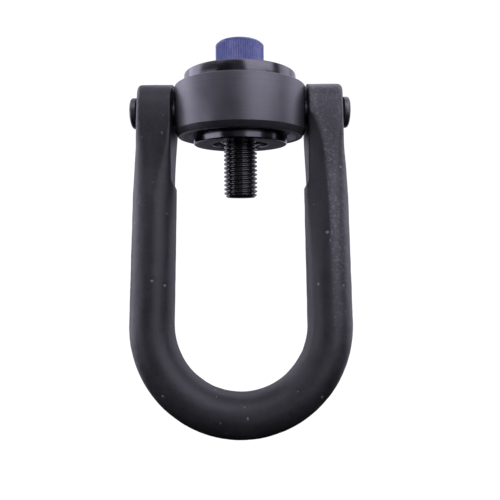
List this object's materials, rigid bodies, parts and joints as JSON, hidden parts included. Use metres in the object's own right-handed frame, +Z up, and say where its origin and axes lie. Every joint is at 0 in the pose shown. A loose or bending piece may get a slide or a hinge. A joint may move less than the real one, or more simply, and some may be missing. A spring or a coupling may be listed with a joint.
{
  "type": "swivel hoist ring",
  "caption": "Screw-in lifting point: a U-shaped bail hinges on a round body that swivels on a flanged bushing held by a blue-headed socket screw.",
  "frame": {"origin": "centre of the load face, the underside of the bushing's flange, on the screw's axis", "axes": "+Z up along the screw's axis, from the thread towards its head; X along the shoulder pins; -Y is the side that the bail is swung to"},
  "size_m": [0.1288, 0.0875, 0.2222],
  "materials": {
    "forged_black": "matt black oxide over a forged, shot-blasted skin",
    "satin_black": "satin black oxide over fine turning",
    "gloss_black": "glossy oiled black oxide over fine turning",
    "blue_dye": "blue colour-coded head, knurled",
    "spring_steel": "oiled spring wire"
  },
  "bodies": {
    "bushing": {"flanged_bushing": "gloss_black", "top_washer": "gloss_black"},
    "swivel": {"swivel_body": "satin_black", "shoulder_pin_left": "forged_black", "shoulder_pin_right": "forged_black", "roll_pin_left": "spring_steel", "roll_pin_right": "spring_steel"},
    "bail": {"bail": "forged_black"},
    "screw": {"socket_head_screw": "blue_dye", "retaining_spring": "spring_steel"}
  },
  "joints": [
    {"name": "body_swivel", "type": "hinge", "parent": "bushing", "child": "swivel", "pos_m": [0, 0, 0.019], "axis": [0, 0, 1], "continuous": true},
    {"name": "bail_pivot", "type": "hinge", "parent": "swivel", "child": "bail", "pos_m": [0, 0, 0.019], "axis": [1, 0, 0], "continuous": true},
    {"name": "screw_spin", "type": "hinge", "parent": "bushing", "child": "screw", "pos_m": [0, 0, 0], "axis": [0, 0, 1], "continuous": true}
  ]
}
